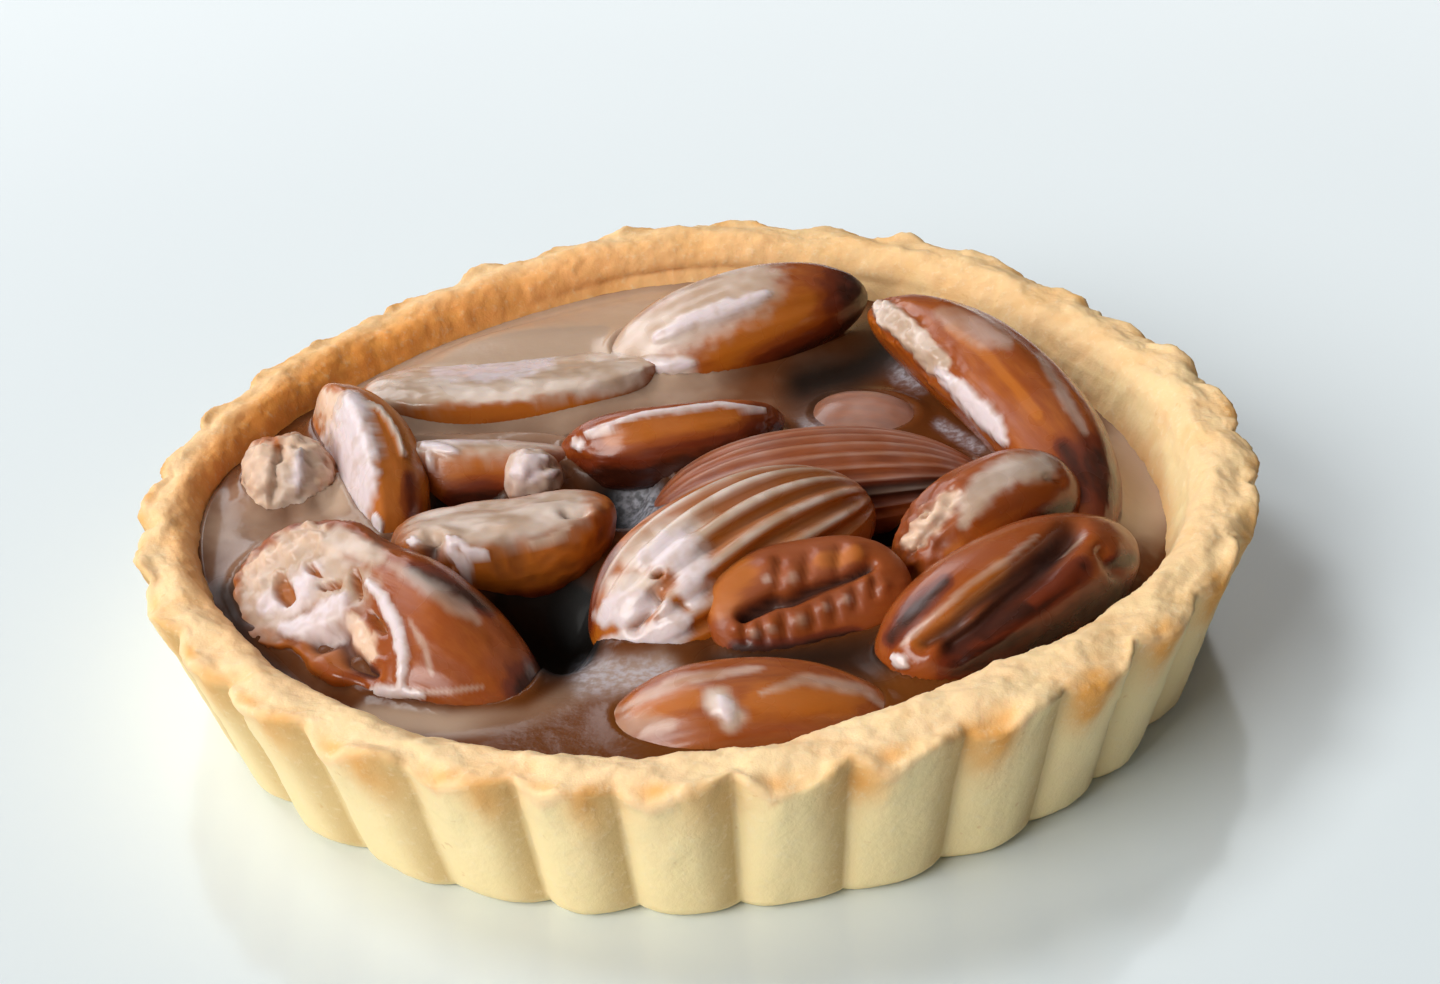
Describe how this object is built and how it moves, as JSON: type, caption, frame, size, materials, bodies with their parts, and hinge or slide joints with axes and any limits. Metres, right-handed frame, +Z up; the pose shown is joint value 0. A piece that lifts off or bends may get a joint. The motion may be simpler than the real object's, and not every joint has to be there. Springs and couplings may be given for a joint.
{
  "type": "pecan pie",
  "caption": "Small round pecan pie: fluted shortcrust shell filled with set caramel, with shelled pecan halves and broken pieces standing out of it.",
  "frame": {"origin": "middle of the flat underside of the pastry shell", "axes": "+Z up, -Y towards the front that is seen, +X to the right of that view"},
  "size_m": [0.0905, 0.0915, 0.0188],
  "materials": {
    "pastry": "baked shortcrust pastry, sandy and matt, golden at the rim and pale lower down",
    "caramel": "set milk caramel, smooth and glossy",
    "pecan": "pecan kernel under a thin glossy caramel coat"
  },
  "bodies": {
    "root": {"crust": "pastry", "filling": "caramel", "pecan_front_left": "pecan", "pecan_left_knob": "pecan", "pecan_left_on_edge": "pecan", "pecan_back_left": "pecan", "pecan_middle_left": "pecan", "pecan_middle_back": "pecan", "pecan_back": "pecan", "pecan_right_crescent": "pecan", "pecan_centre": "pecan", "pecan_centre_front": "pecan", "pecan_centre_back": "pecan", "pecan_right_upper": "pecan", "pecan_right_lower": "pecan", "pecan_front": "pecan", "pecan_broken": "pecan", "pecan_scrap": "pecan", "pecan_sunk": "pecan"}
  },
  "joints": []
}
